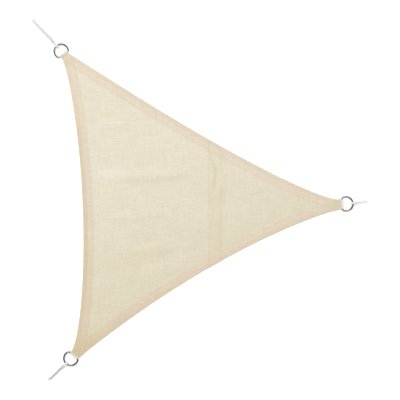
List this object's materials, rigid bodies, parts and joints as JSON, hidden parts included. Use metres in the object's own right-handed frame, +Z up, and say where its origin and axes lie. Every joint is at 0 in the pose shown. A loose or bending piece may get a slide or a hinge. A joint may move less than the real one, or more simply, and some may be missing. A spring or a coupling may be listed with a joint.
{
  "type": "shade sail",
  "caption": "Triangular knitted shade cloth with inward-curving hemmed edges, spread flat, with a webbing-held D-ring and a doubled tie cord at each corner.",
  "frame": {"origin": "on the surface that the sail lies on, under the middle of the box round the cloth, straps and rings", "axes": "+Z up from the face-up cloth, +Y towards the top-left corner's side as pictured, +X towards the right-hand corner"},
  "size_m": [2.0537, 2.2052, 0.0229],
  "materials": {
    "shade_cloth": "open knitted polyethylene shade cloth, cream, slightly sheer",
    "webbing": "ribbed off-white polyester webbing",
    "steel": "polished stainless round wire",
    "cord": "white braided polypropylene cord"
  },
  "bodies": {
    "root": {"panel_left": "shade_cloth", "panel_right": "shade_cloth", "strap_top_left": "webbing", "strap_right": "webbing", "strap_bottom_left": "webbing", "ring_top_left": "steel", "ring_right": "steel", "ring_bottom_left": "steel", "tie_top_left": "cord", "tie_right": "cord", "tie_bottom_left": "cord"}
  },
  "joints": []
}
